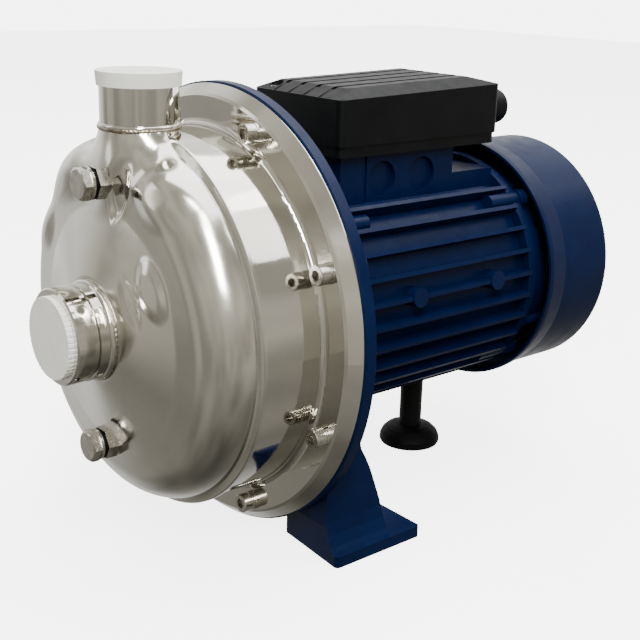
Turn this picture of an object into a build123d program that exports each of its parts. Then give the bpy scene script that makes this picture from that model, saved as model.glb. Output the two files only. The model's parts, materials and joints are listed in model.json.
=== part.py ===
from build123d import *
from math import cos, degrees, radians, sin
import os

# A stainless end-suction centrifugal pump, close coupled to a fan-cooled motor.
# Shaft axis along Y: suction faces -Y, discharge faces +Z, the fan is at +Y.
# Parts are drawn about the shaft axis, with y = 0 on the joint between pump casing and motor
# flange, and are moved into the pump's own frame when they are written.

# Overall
SHAFT_HEIGHT = 122.0
FRONT_END = -101.0
REAR_END = 247.0

# Casing flange and its screws
FLANGE_RADIUS = 118.0
FLANGE_THICKNESS = 7.3
NECK_RADIUS = 97.6
SHEET = 2.0
SCREW_COUNT = 8
SCREW_CIRCLE = 106.5
SCREW_SIZE = 6.0
WASHER_THICKNESS = 1.5
CLEARANCE = 0.05

# Casing bowl
BOWL_BACK = -41.4
BOWL_RADIUS = 94.5
BOWL_SHOULDER = 22.0
BOWL_FRONT = -66.5
BOWL_NOSE = -77.5
LIP_RADIUS = 98.4

# Ports
SUCTION_RADIUS = 24.5
SUCTION_THREAD = 19.48
SUCTION_MOUTH = 20.95
SUCTION_FACE = -98.0
MOUTH_DEPTH = 4.0
DISCHARGE_Y = -47.2
DISCHARGE_RADIUS = 19.5
DISCHARGE_THREAD = 15.15
DISCHARGE_MOUTH = 17.2
DISCHARGE_WELD = 99.4
DISCHARGE_TOP = 119.5
DISCHARGE_CAP_TOP = 126.5

# Fill and drain plugs
FILL_HEIGHT = 74.0
DRAIN_HEIGHT = -62.0
PLUG_HEX = 15.0
PLUG_HEAD = 6.2
PLUG_COLLAR = 1.5
PLUG_SHANK = 9.0
PLUG_SEAT = -74.3
PLUG_THREAD = 5.72
PLUG_SEAL = 2.2

# Motor bracket
BRACKET_RADIUS = 119.0
BRACKET_THICKNESS = 7.0
SEAL_PLATE_RADIUS = 100.0
SEAL_PLATE_THICKNESS = 2.5
CUP_RADIUS = 64.0
CUP_WALL = 5.0

# Motor frame
FRAME_START = 42.0
FRAME_END = 182.0
FRAME_RADIUS = 62.0
FRAME_BORE = 58.0
FIN_RADIUS = 70.0
FIN_THICKNESS = 2.4
FIN_COUNT = 32
PAD_HALF_WIDTH = 32.0
PAD_FRONT = 56.0
PAD_REAR = 142.0
PAD_TOP = 79.0
PAD_LEDGE = 64.0
SHIELD_SCREW_CIRCLE = 65.5

# Fan cover and fan
COVER_LIP = 186.5
COVER_LIP_RADIUS = 75.8
COVER_FLARE = 16.0
COVER_RADIUS = 74.0
COVER_WALL = 1.6
COVER_EDGE = 3.5
COVER_REAR = 244.5
POST_CIRCLE = 60.0
FAN_RADIUS = 53.0
AIR_GUIDE_RADIUS = 61.0
AIR_GUIDE_END = 214.0

# Terminal box
BOX_HALF_WIDTH = 38.0
BOX_FRONT = 50.0
BOX_REAR = 172.5
BOX_BASE = 80.0
BOX_SPLIT = 86.0
BOX_RIM = 110.5
BOX_WALL = 2.5
BOX_STEP = 1.0
LID_RISE = 4.5
LID_TILT = 1.65
PLATEAU = (56.0, 92.0)
GROOVES = (-19.5, -6.5, 6.5, 19.5)
GROOVE_WIDTH = 3.0
GROOVE_DEPTH = 1.3
GLAND_X = 20.0
GLAND_Z = 98.5
GLAND_THREAD = 7.0
COVER_SCREWS = ((-26.0, 57.0), (-2.0, 164.0))
COVER_SCREW_BED = 109.9

# Feet
FOOT_INNER = 46.0
FOOT_OUTER = 93.5
FOOT_FRONT = 9.0
FOOT_REAR = 69.0
FOOT_PLATE = 6.5
FOOT_CORNER = 2.5
FOOT_WEB = 84.0
FOOT_SETBACK = 4.0
ARCH_RADIUS = 112.0
ARCH_WIDTH = 28.0
FOOT_HOLE = (62.0, 44.0)
FOOT_HOLE_RADIUS = 4.5
FOOT_SCREW_CIRCLE = 96.0
FOOT_SCREW_ANGLES = (-45, -135)
MOTOR_FOOT_X = -6.0
MOTOR_FOOT_Y = 157.0
MOTOR_FOOT_RADIUS = 19.6
MOTOR_FOOT_HEIGHT = 12.5
STEM_RADIUS = 7.2
STEM_TOP = -75.0
STUD_RADIUS = 4.0

# Shaft and bearings
SEAL_SHAFT = 8.0
FRONT_BEARING = {"start": 24.0, "width": 14.0, "bore": 10.0, "outer": 23.5, "ball": 3.9, "count": 8}
REAR_BEARING = {"start": 178.0, "width": 12.0, "bore": 8.5, "outer": 20.0, "ball": 3.3, "count": 8}

FLOOR = -SHAFT_HEIGHT
PUMP_FRAME = Pos(0, -(FRONT_END + REAR_END) / 2, SHAFT_HEIGHT)


def save(name, *solids):
    """Write one node, moved from shaft coordinates into the pump's frame."""
    placed = [PUMP_FRAME * solid for solid in solids]
    export_step(placed[0] if len(placed) == 1 else Compound(children=placed), f"parts/{name}.step")


def bar(radius, start, end, x=0, z=0):
    """Round bar parallel to the shaft, between two y values."""
    return Pos(x, (start + end) / 2, z) * Rot(90, 0, 0) * Cylinder(radius, end - start)


def ring(outer, inner, start, end, x=0, z=0):
    """Plain ring parallel to the shaft."""
    return bar(outer, start, end, x, z) - bar(inner, start - 1, end + 1, x, z)


def post(radius, low, high, x=0, y=0):
    """Upright round bar between two heights."""
    return Pos(x, y, (low + high) / 2) * Cylinder(radius, high - low)


def block(x0, x1, y0, y1, z0, z1):
    """Box between two corners."""
    middle = Pos((x0 + x1) / 2, (y0 + y1) / 2, (z0 + z1) / 2)
    return middle * Box(x1 - x0, y1 - y0, z1 - z0)


def hex_bar(across_flats, start, end, x=0, z=0):
    """Hexagonal bar parallel to the shaft."""
    section = Plane(origin=(x, start, z), x_dir=(1, 0, 0), z_dir=(0, 1, 0))
    return extrude(section * RegularPolygon(across_flats / 2, 6, major_radius=False), end - start)


def turned(*corners):
    """Solid of revolution about the shaft from (y, radius) corners."""
    outline = Polyline(*[(radius, y) for y, radius in corners], close=True)
    return revolve(make_face(outline), Axis.Y)


def o_ring(y, radius, section, x=0, z=0):
    """Rubber ring lying square to the shaft."""
    return Pos(x, y, z) * Rot(90, 0, 0) * Torus(radius, section)


def around(shape, angles):
    """Copies of a shape drawn along +X, turned to each angle from +X towards +Z."""
    return [Rot(0, -angle, 0) * shape for angle in angles]


def spread(count, first=0.0):
    """Equal angles round the shaft."""
    return [first + 360.0 * step / count for step in range(count)]


def fused(first, others):
    """One solid from a body and a list of additions."""
    for other in others:
        first = first + other
    return first


SCREW_ANGLES = spread(SCREW_COUNT, 22.5)


# ---------------------------------------------------------------- pump casing

def bowl_body(inset):
    """Solid bowl form, shrunk by the sheet thickness for the inside."""
    back = BOWL_BACK + (0 if inset == 0 else 1)
    corners = [
        (0, back), (BOWL_RADIUS - inset, back), (BOWL_RADIUS - inset, BOWL_FRONT + inset),
        (62, BOWL_FRONT - 1.5 + inset), (27, BOWL_NOSE + inset), (0, BOWL_NOSE + inset),
    ]
    section = make_face(Polyline(*corners, close=True))
    shoulder = section.vertices().sort_by(Axis.X)[-2:].sort_by(Axis.Y)[0]
    section = fillet(shoulder, BOWL_SHOULDER - inset)
    return revolve(section, Axis.Y)


def discharge_pull():
    """Short neck pulled out of the bowl under the discharge weld."""
    neck = post(DISCHARGE_RADIUS, 72, DISCHARGE_WELD, y=DISCHARGE_Y)
    return neck - bar(NECK_RADIUS, BOWL_BACK, 0)


def plug_holes(radius):
    return [bar(radius, -90, -50, z=height) for height in (FILL_HEIGHT, DRAIN_HEIGHT)]


def casing_bowl():
    lip = turned((BOWL_BACK, BOWL_RADIUS - 3), (BOWL_BACK, LIP_RADIUS), (BOWL_BACK - 1.8, LIP_RADIUS),
                 (BOWL_BACK - 4, BOWL_RADIUS), (BOWL_BACK - 4, BOWL_RADIUS - 3))
    shell = bowl_body(0) + lip + discharge_pull()
    shell = shell - bowl_body(SHEET) - post(DISCHARGE_RADIUS - SHEET, 60, 101, y=DISCHARGE_Y)
    shell = shell - bar(SUCTION_THREAD, -100, -60)
    for hole in plug_holes(PLUG_THREAD):
        shell = shell - hole
    return shell


def casing_flange():
    fillet_size = 3.0
    fillet_bed = NECK_RADIUS + fillet_size
    face = -FLANGE_THICKNESS
    body = turned(
        (0, FLANGE_RADIUS), (-0.8, FLANGE_RADIUS), (face + 1.0, FLANGE_RADIUS - 4.6),
        (face, FLANGE_RADIUS - 6), (face, NECK_RADIUS - 0.5), (BOWL_BACK, NECK_RADIUS),
        (BOWL_BACK, NECK_RADIUS - SHEET), (-3, NECK_RADIUS - SHEET), (-3, 99), (0, 99))
    root = turned((face + 0.5, NECK_RADIUS - 0.5), (face + 0.5, fillet_bed), (face, fillet_bed),
                  (face - fillet_size, NECK_RADIUS), (face - fillet_size, NECK_RADIUS - 0.5))
    cove = Pos(0, face - fillet_size, 0) * Rot(90, 0, 0) * Torus(fillet_bed, fillet_size)
    body = body + (root - cove) - post(DISCHARGE_RADIUS - SHEET, 60, 101, y=DISCHARGE_Y)
    hole = bar(SCREW_SIZE / 2 + 0.3, face - 1, 1, x=SCREW_CIRCLE)
    for cut in around(hole, SCREW_ANGLES):
        body = body - cut
    return body


def suction_collar():
    body = turned(
        (SUCTION_FACE, SUCTION_MOUTH), (SUCTION_FACE, SUCTION_RADIUS - 0.8),
        (SUCTION_FACE + 0.8, SUCTION_RADIUS), (-89.5, SUCTION_RADIUS), (-89, SUCTION_RADIUS - 1.2),
        (-86, SUCTION_RADIUS - 1.2), (-85.5, SUCTION_RADIUS), (BOWL_NOSE, SUCTION_RADIUS),
        (BOWL_NOSE, SUCTION_THREAD), (SUCTION_FACE + MOUTH_DEPTH, SUCTION_THREAD),
        (SUCTION_FACE + MOUTH_DEPTH, SUCTION_MOUTH))
    bead = o_ring(BOWL_NOSE - 1.6, SUCTION_RADIUS - 0.2, 1.6)
    return body + (bead - bar(SUCTION_RADIUS - 1, BOWL_NOSE - 4, BOWL_NOSE + 4))


def discharge_stub():
    outer = post(DISCHARGE_RADIUS, DISCHARGE_WELD, DISCHARGE_TOP, y=DISCHARGE_Y)
    bead = Pos(0, DISCHARGE_Y, DISCHARGE_WELD + 1.2) * Torus(DISCHARGE_RADIUS - 0.2, 1.2)
    mouth = post(DISCHARGE_MOUTH, DISCHARGE_TOP - 3, DISCHARGE_TOP + 1, y=DISCHARGE_Y)
    bore = post(DISCHARGE_THREAD, DISCHARGE_WELD - 3, DISCHARGE_TOP + 1, y=DISCHARGE_Y)
    return outer + bead - mouth - bore


def plug_boss(height):
    """Hexagonal threaded boss welded on the bowl."""
    boss = hex_bar(PLUG_HEX, PLUG_SEAT, -60, z=height) - bowl_body(0)
    boss = boss - post(DISCHARGE_RADIUS, 60, 100, y=DISCHARGE_Y)
    return boss - bar(PLUG_THREAD, PLUG_SEAT - 1, -50, z=height)


def pipe_plug(height):
    """Hexagon-head plug with a round-chamfered crown, a washer face and a plain shank in the boss."""
    face = PLUG_SEAT - PLUG_SEAL
    front, collar, corner = face - PLUG_HEAD, face - PLUG_COLLAR, PLUG_HEX / 2 + 1.3
    crown = hex_bar(PLUG_HEX, front, collar, z=height)
    crown = crown & Pos(0, 0, height) * turned((front, 0), (front, corner - 1.7), (front + 1, corner),
                                               (collar, corner), (collar, 0))
    washer_face = bar(PLUG_HEX / 2 + 0.7, collar, face, z=height)
    shank = bar(PLUG_THREAD - CLEARANCE, face, PLUG_SEAT + PLUG_SHANK, z=height)
    return crown + washer_face + shank


def plug_seal(height):
    section = PLUG_SEAL / 2
    return o_ring(PLUG_SEAT - section, PLUG_THREAD + 0.15 + section, section, z=height)


def suction_guide():
    """Pressed cone that leads the water from the suction port to the impeller eye."""
    inside = BOWL_NOSE + SHEET
    return turned((inside, 20.5), (inside, 26), (inside + 1.5, 26), (inside + 1.5, 22.5), (-64.5, 22.5),
                  (-64.5, 29), (-56, 29), (-56, 27.2), (-63, 27.2), (-63, 20.5))


def casing_screw():
    seat = -FLANGE_THICKNESS - WASHER_THICKNESS
    head = bar(SCREW_SIZE * 5 / 6, seat - SCREW_SIZE, seat, x=SCREW_CIRCLE)
    head = chamfer(head.edges().group_by(Axis.Y)[0], 0.4)
    socket = hex_bar(5, seat - SCREW_SIZE - 1, seat - 3, x=SCREW_CIRCLE)
    shank = bar(SCREW_SIZE / 2, seat, 10, x=SCREW_CIRCLE)
    return head + shank - socket


def lock_washer():
    washer = ring(5.25, SCREW_SIZE / 2 + 0.1, -FLANGE_THICKNESS - WASHER_THICKNESS, -FLANGE_THICKNESS,
                  x=SCREW_CIRCLE)
    return washer - block(SCREW_CIRCLE - 0.4, SCREW_CIRCLE + 0.4, -12, 0, 2, 7)


def seal_plate():
    """Pressed back plate of the pump chamber with a hub for the shaft seal."""
    plate = ring(SEAL_PLATE_RADIUS, 20, 0, SEAL_PLATE_THICKNESS)
    stiffener = turned((0, 46), (-4, 50), (-4, 62), (0, 66), (SEAL_PLATE_THICKNESS, 66),
                       (-4 + SEAL_PLATE_THICKNESS, 61), (-4 + SEAL_PLATE_THICKNESS, 51),
                       (SEAL_PLATE_THICKNESS, 46))
    plate = plate - ring(66, 46, -1, SEAL_PLATE_THICKNESS + 1) + stiffener
    hub = ring(21, 10, -6, 6) - bar(15.5, -7, 3)
    return plate + hub


# ---------------------------------------------------------------- impeller and shaft seal

def impeller():
    """Closed impeller: back disc, six swept-back vanes, front shroud and eye ring."""
    vane_count, vane_inner, vane_outer, vane_sweep, vane_sheet = 6, 17.0, 67.0, 62.0, 2.2

    def point(radius, angle):
        return (radius * cos(radians(angle)), radius * sin(radians(angle)))

    vane_middle = (vane_inner + vane_outer) / 2
    front = [point(vane_inner, 0), point(vane_middle, -0.6 * vane_sweep), point(vane_outer, -vane_sweep)]
    back = [point(r, a + degrees(vane_sheet / r)) for r, a in
            ((vane_inner, 0), (vane_middle, -0.6 * vane_sweep), (vane_outer, -vane_sweep))]
    section = make_face([ThreePointArc(*front), Line(front[2], back[2]),
                         ThreePointArc(back[2], back[1], back[0]), Line(back[0], front[0])])
    vane = extrude(Plane(origin=(0, -30, 0), x_dir=(1, 0, 0), z_dir=(0, -1, 0)) * section, 30)
    passage = turned((-35, 15), (-53.5, 15), (-53.5, 24), (-46, 66.5), (-35, 66.5))
    back_disc = ring(68, 7, -36, -34)
    hub = ring(14, 7, -54, -31)
    shroud = turned((-54.5, 22.4), (-54.5, 24.5), (-47, 68), (-45.2, 68), (-52.5, 24.5), (-52.5, 22.4))
    eye = ring(24, 22.4, -61, -53)
    wheel = back_disc + hub + shroud + eye
    wheel = fused(wheel, [turn * (vane & passage) for turn in [Rot(0, a, 0) for a in spread(vane_count)]])
    return wheel - block(-2, 2, -55, -30, 0, 9.5)


def shaft():
    steps = [(-64, 5), (-54, 7), (-31, SEAL_SHAFT), (8, 9), (24, FRONT_BEARING["bore"]), (38, 12.5),
             (50, 14), (165, 11), (178, REAR_BEARING["bore"]), (190, 7)]
    end = 227.0
    corners = [(steps[0][0], 0)]
    for (start, radius), (stop, _) in zip(steps, steps[1:] + [(end, 0)]):
        corners += [(start, radius), (stop, radius)]
    body = turned(*corners, (end, 0))
    return body - ring(8, 6.5, 222.2, 223.4) - block(-2, 2, -50, -35, 4.5, 9)


def seal_seat():
    return turned((-5.5, 9), (-5.5, 13), (-4.5, 15.5), (3, 15.5), (3, 9))


def seal_head():
    """Turning half of the shaft seal: carbon face in a pressed shell with a rubber bellows."""
    return turned((-5.6, SEAL_SHAFT), (-5.6, 12.5), (-8, 12.5), (-8, 14), (-15, 14), (-15, 10.5),
                  (-18, 10.2), (-20, 9.2), (-22, 10.2), (-24, 9.2), (-26, 10.2), (-31, 10.2),
                  (-31, SEAL_SHAFT))


def seal_spring():
    """Compression spring of the shaft seal."""
    wire, radius, height = 0.8, 12.0, 14.0
    path = Helix(pitch=3.9, height=height - 2 * wire, radius=radius)
    coil = sweep(Plane(origin=path @ 0, z_dir=path % 0) * Circle(wire), path=path)
    return Pos(0, -15 - wire, 0) * Rot(90, 0, 0) * coil


def impeller_nut():
    return hex_bar(16, -62, -55.5) - bar(5, -63, -55)


# ---------------------------------------------------------------- bearings

def pitch_radius(bearing):
    return (bearing["bore"] + bearing["outer"]) / 2


def race(bearing, inner):
    """One ring of a ball bearing with its groove."""
    start, end = bearing["start"], bearing["start"] + bearing["width"]
    pitch = pitch_radius(bearing)
    shoulder = 0.62 * bearing["ball"]
    blank = (ring(pitch - shoulder, bearing["bore"], start, end) if inner
             else ring(bearing["outer"], pitch + shoulder, start, end))
    return blank - o_ring((start + end) / 2, pitch, bearing["ball"] + CLEARANCE)


def balls(bearing):
    middle = bearing["start"] + bearing["width"] / 2
    ball = Pos(pitch_radius(bearing), middle, 0) * Sphere(bearing["ball"])
    return around(ball, spread(bearing["count"]))


def cage(bearing):
    middle = bearing["start"] + bearing["width"] / 2
    pitch, half = pitch_radius(bearing), bearing["width"] / 2 - 1.5
    band = ring(pitch + 0.9, pitch - 0.9, middle - half, middle + half)
    pocket = Pos(pitch, middle, 0) * Rot(0, 90, 0) * Cylinder(bearing["ball"] + CLEARANCE, 6)
    for cut in around(pocket, spread(bearing["count"])):
        band = band - cut
    return band


# ---------------------------------------------------------------- motor

def motor_bracket():
    """Cast motor flange with its ribbed cup and front bearing housing."""
    bearing_end = FRONT_BEARING["start"] + FRONT_BEARING["width"]
    cup_end = FRAME_START
    body = turned((0, BRACKET_RADIUS - 0.6), (0.6, BRACKET_RADIUS),
                  (BRACKET_THICKNESS - 0.6, BRACKET_RADIUS),
                  (BRACKET_THICKNESS, BRACKET_RADIUS - 0.6), (BRACKET_THICKNESS, 40),
                  (SEAL_PLATE_THICKNESS, 40), (SEAL_PLATE_THICKNESS, SEAL_PLATE_RADIUS),
                  (0, SEAL_PLATE_RADIUS))
    body = body + ring(CUP_RADIUS, CUP_RADIUS - CUP_WALL, BRACKET_THICKNESS - 1, cup_end)
    body = body + ring(CUP_RADIUS - 1, 28, 33, bearing_end)
    body = body + ring(FRAME_BORE, FRAME_BORE - 4, 33, cup_end + 6)
    body = body + ring(30, 20, FRONT_BEARING["start"], bearing_end + 2)
    body = body - bar(FRONT_BEARING["outer"], FRONT_BEARING["start"] - 1, bearing_end)
    rib_outline = [(CUP_RADIUS - 2, 6), (100, 6), (96, 12), (70, 30), (CUP_RADIUS - 2, 32)]
    rib = Pos(0, 0, -2.5) * extrude(make_face(Polyline(*rib_outline, close=True)), 5)
    body = fused(body, around(rib, SCREW_ANGLES))
    boss = bar(7, BRACKET_THICKNESS - 1, 12, x=SCREW_CIRCLE)
    body = fused(body, around(boss, SCREW_ANGLES))
    for cut in around(bar(SCREW_SIZE / 2 + CLEARANCE, -1, 10.5, x=SCREW_CIRCLE), SCREW_ANGLES):
        body = body - cut
    lug = bar(5.5, 34, cup_end, x=SHIELD_SCREW_CIRCLE) + block(CUP_RADIUS - 3, 66, 34, cup_end, -5.5, 5.5)
    body = fused(body, around(lug, spread(4, 45)))
    screw_way = bar(2.7, 33, cup_end + 1, x=SHIELD_SCREW_CIRCLE) + bar(4.5, 24, 34, x=SHIELD_SCREW_CIRCLE)
    for cut in around(screw_way, spread(4, 45)):
        body = body - cut
    weep = block(-13, 13, 11, 29, -CUP_RADIUS - 2, -CUP_RADIUS + CUP_WALL + 2)
    for cut in around(Rot(0, -90, 0) * weep, spread(4)):
        body = body - cut
    for cut in around(bar(2.55, 3, 9, x=FOOT_SCREW_CIRCLE), FOOT_SCREW_ANGLES):
        body = body - cut
    return body


def rounded_plate(x0, x1, y0, y1, z0, z1, radius):
    return fillet(block(x0, x1, y0, y1, z0, z1).edges().filter_by(Axis.Z), radius)


def upright(*corners):
    """Prism standing behind the plane y = 0, from (x, z) corners."""
    outline = make_face(Polyline(*corners, close=True))
    return extrude(Plane(origin=(0, 0, 0), x_dir=(1, 0, 0), z_dir=(0, -1, 0)) * outline, -100)


def crosswise(*corners):
    """Prism across the pump on the +X side, from (y, z) corners."""
    outline = make_face(Polyline(*corners, close=True))
    return extrude(Plane(origin=(0, 0, 0), x_dir=(0, 1, 0), z_dir=(1, 0, 0)) * outline, 100)


def foot_leg():
    """Right-hand leg: base plate, front web and flared side web, open towards the rear."""
    base_top, web_top = FLOOR + FOOT_PLATE, -50
    plate = block(FOOT_INNER, FOOT_OUTER, FOOT_FRONT, FOOT_REAR, FLOOR, base_top)
    front = upright((FOOT_INNER, FLOOR), (FOOT_INNER, -98), (52, -88), (66, -60), (FOOT_WEB, web_top),
                    (FOOT_WEB, FLOOR))
    side = upright((FOOT_WEB - 7, FLOOR), (FOOT_WEB - 7, web_top), (FOOT_WEB, web_top), (FOOT_WEB, -100),
                   (FOOT_WEB + 1, -107), (FOOT_WEB + 3.5, -113), (FOOT_WEB + 6.5, -117),
                   (FOOT_OUTER, -119.5), (FOOT_OUTER, FLOOR))
    rear_slope = crosswise((FOOT_FRONT, FLOOR), (FOOT_FRONT, web_top), (29, web_top), (31.5, -63), (35, -69),
                           (38.5, -76), (42, -85), (46.5, -97), (49, -108), (50, FLOOR))
    front = front & block(0, 100, FOOT_FRONT, FOOT_FRONT + 6, FLOOR, web_top)
    corner_room = rounded_plate(FOOT_INNER, FOOT_OUTER, FOOT_FRONT, FOOT_REAR, FLOOR, web_top, FOOT_CORNER)
    setback = Polyline((FOOT_INNER - 1, FOOT_FRONT), (FOOT_OUTER - 2, FOOT_FRONT),
                       (FOOT_INNER - 1, FOOT_FRONT + FOOT_SETBACK), close=True)
    setback = Pos(0, 0, FLOOR) * extrude(make_face(setback), 20)
    leg = (plate + front + (side & rear_slope)) & corner_room
    return leg - setback - post(FOOT_HOLE_RADIUS, FLOOR - 1, base_top + 1, x=FOOT_HOLE[0], y=FOOT_HOLE[1])


def pump_foot():
    """Arch bolted behind the flange with a leg on each side."""
    inner = ARCH_RADIUS - ARCH_WIDTH
    sector = [(0, 0)] + [(200 * cos(radians(a)), 200 * sin(radians(a))) for a in (-28, -90, -152)]
    arch = ring(ARCH_RADIUS, inner, BRACKET_THICKNESS, FOOT_FRONT + 6) & upright(*sector)
    right = foot_leg() - bar(inner, 0, FOOT_FRONT + 8)
    body = arch + right + mirror(right, about=Plane.YZ)
    rib_room = Polyline((80, 0), (80, 24), (92.5, 15.5), (97.5, 12.5), (101.5, 6.5), (101.5, 0), close=True)
    rib_room = Pos(0, 0, -3.2) * extrude(make_face(rib_room), 6.4)
    boss_room = bar(7.5, 0, 12.5, x=SCREW_CIRCLE)
    for cut in around(boss_room, SCREW_ANGLES) + around(rib_room, SCREW_ANGLES):
        body = body - cut
    for cut in around(bar(3.0, 0, 40, x=FOOT_SCREW_CIRCLE), FOOT_SCREW_ANGLES):
        body = body - cut
    return body


def foot_screw():
    head = hex_bar(8, FOOT_FRONT + 6, FOOT_FRONT + 9.5, x=FOOT_SCREW_CIRCLE)
    return head + bar(2.5, 3.1, FOOT_FRONT + 6, x=FOOT_SCREW_CIRCLE)


def motor_frame():
    """Finned die-cast frame with the terminal box pad on top and a foot boss below."""
    body = bar(FRAME_RADIUS, FRAME_START, FRAME_END)
    body = body + bar(66, FRAME_START, FRAME_START + 5) + bar(68, FRAME_END - 6, FRAME_END)
    fin = block(FRAME_RADIUS - 1, FIN_RADIUS, FRAME_START + 4, FRAME_END - 5,
                -FIN_THICKNESS / 2, FIN_THICKNESS / 2)
    step = 360 / FIN_COUNT
    fin_angles = [a for a in spread(FIN_COUNT, step / 2) if not 58 < a < 122]
    body = fused(body, around(fin, fin_angles))
    pad = block(-PAD_HALF_WIDTH, PAD_HALF_WIDTH, PAD_FRONT, PAD_REAR, 40, PAD_TOP)
    for side in (-1, 1):
        face = side * PAD_HALF_WIDTH
        for y in (86.5, 117.0):
            pad = pad - Pos(face, y, 65.5) * Rot(0, 90, 0) * Cylinder(10, 6)
        pad = pad - block(face - 1, face + 1, 73, 75, 52, PAD_TOP + 1)
    ledge = block(-PAD_HALF_WIDTH, PAD_HALF_WIDTH, PAD_REAR - 1, FRAME_END - 6, 40, PAD_LEDGE)
    body = body + pad + ledge
    oval = Pos((FRAME_RADIUS + FIN_RADIUS) / 2, 0, 0) * Rot(0, 90, 0) * Cylinder(5.5, 9)
    for y in (84.0, 146.0):
        body = fused(body, around(Pos(0, y, 0) * oval, (step / 2, 180 - step / 2)))
    body = body + post(10, STEM_TOP, -60, x=MOTOR_FOOT_X, y=MOTOR_FOOT_Y)
    rear_boss = bar(4.6, FRAME_END - 24, FRAME_END, x=SHIELD_SCREW_CIRCLE)
    front_boss = bar(4.6, FRAME_START, FRAME_START + 20, x=SHIELD_SCREW_CIRCLE)
    body = fused(body, around(rear_boss, spread(4, 45)) + around(front_boss, spread(4, 45)))
    for low, high in ((FRAME_START - 1, FRAME_START + 14), (FRAME_END - 14, FRAME_END + 1)):
        for cut in around(bar(2.55, low, high, x=SHIELD_SCREW_CIRCLE), spread(4, 45)):
            body = body - cut
    body = body - bar(FRAME_BORE, FRAME_START - 1, FRAME_END + 1)
    body = body - post(STUD_RADIUS + CLEARANCE, STEM_TOP - 1, -61, x=MOTOR_FOOT_X, y=MOTOR_FOOT_Y)
    return body - block(-16, 16, 84, 116, 50, PAD_TOP + 1)


def end_shield_screws():
    """Cheese-head screws that hold the frame between bracket and rear shield."""
    rear = bar(4.2, FRAME_END + 6, FRAME_END + 10, x=SHIELD_SCREW_CIRCLE)
    rear = rear + bar(2.5, FRAME_END - 12, FRAME_END + 6, x=SHIELD_SCREW_CIRCLE)
    front = bar(4.2, 30, 34, x=SHIELD_SCREW_CIRCLE) + bar(2.5, 34, FRAME_START + 12, x=SHIELD_SCREW_CIRCLE)
    return around(rear, spread(4, 45)) + around(front, spread(4, 45))


def stator_core():
    """Laminated stack with 24 winding slots."""
    core = ring(FRAME_BORE, 34, 72, 150)
    slot = block(33, 36, 71, 151, -1, 1) + block(35.5, 47, 71, 151, -2.6, 2.6)
    for cut in around(slot, spread(24)):
        core = core - cut
    return core


def stator_windings():
    """The two wound overhangs at the ends of the stack."""
    return [turned((a, 37), (a, 50), (b, 53), (c, 51), (c, 40), (b, 37))
            for a, b, c in ((71.9, 66, 55), (150.1, 156, 165))]


def rotor_core():
    cage_rings = ring(32, 20, 68, 72) + ring(32, 20, 150, 154)
    return ring(33.5, 14, 72, 150) + cage_rings


def rear_end_shield():
    """Rear bearing shield with an air guide and the posts that carry the fan cover."""
    bearing_start, width = REAR_BEARING["start"], REAR_BEARING["width"]
    hub_end = bearing_start + width + 4
    body = ring(64, 20, FRAME_END, FRAME_END + 4)
    body = body + ring(FRAME_BORE, FRAME_BORE - 4, FRAME_END - 6, FRAME_END)
    body = body + ring(26, 14, bearing_start - 1, hub_end)
    body = body - bar(REAR_BEARING["outer"], bearing_start - 2, bearing_start + width + 1.5)
    body = body + ring(AIR_GUIDE_RADIUS, AIR_GUIDE_RADIUS - 2.5, FRAME_END, AIR_GUIDE_END)
    lug = bar(5.5, FRAME_END, FRAME_END + 6, x=SHIELD_SCREW_CIRCLE)
    lug = lug + block(60, 66, FRAME_END, FRAME_END + 6, -5.5, 5.5)
    body = fused(body, around(lug, spread(4, 45)))
    for cut in around(bar(2.7, FRAME_END - 1, FRAME_END + 7, x=SHIELD_SCREW_CIRCLE), spread(4, 45)):
        body = body - cut
    rib = block(24, 60, FRAME_END + 3, FRAME_END + 8, -2, 2)
    body = fused(body, around(rib, spread(8)))
    stand = bar(4.2, FRAME_END + 2, COVER_REAR - COVER_WALL, x=POST_CIRCLE)
    body = fused(body, around(stand, spread(3, 90)))
    for cut in around(bar(1.65, COVER_REAR - 16, COVER_REAR, x=POST_CIRCLE), spread(3, 90)):
        body = body - cut
    return body


def cooling_fan():
    """Plastic fan with straight blades on a back plate."""
    hub = ring(13, 7, 197, 221)
    plate = ring(FAN_RADIUS, 7, 199, 201)
    blade = block(12, FAN_RADIUS, 200, 224, -1, 1)
    return fused(hub + plate, around(blade, spread(7)))


def fan_circlip():
    clip = ring(9, 6.5, 222.2, 223.4)
    return clip - block(3, 12, 222, 224, -2, 2)


def cowl_form(inset):
    """Solid cowl form, shrunk by the sheet thickness for the inside."""
    lip, front = COVER_LIP_RADIUS - inset, COVER_LIP - (1 if inset else 0)
    section = make_face(Polyline(
        (0, front), (lip, front), (lip, COVER_LIP + 3), (COVER_RADIUS - inset, COVER_LIP + COVER_FLARE),
        (COVER_RADIUS - inset, COVER_REAR - inset), (0, COVER_REAR - inset), close=True))
    edge = section.vertices().sort_by(Axis.Y)[-2:].sort_by(Axis.X)[-1]
    return revolve(fillet(edge, COVER_EDGE - inset), Axis.Y)


def fan_cover():
    """Pressed cowl with a flared front lip and a slotted grille at the rear."""
    body = cowl_form(0) - cowl_form(COVER_WALL)
    slots = [ring(r + 3.2, r, COVER_REAR - 3, COVER_REAR + 1) for r in (14, 21, 28, 35, 42, 49)]
    spokes = around(block(8, 60, COVER_REAR - 4, COVER_REAR + 2, -2, 2), spread(6, 30))
    for slot in slots:
        for spoke in spokes:
            slot = slot - spoke
        body = body - slot
    for cut in around(bar(2.2, COVER_REAR - 5, COVER_REAR + 1, x=POST_CIRCLE), spread(3, 90)):
        body = body - cut
    return body


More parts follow.
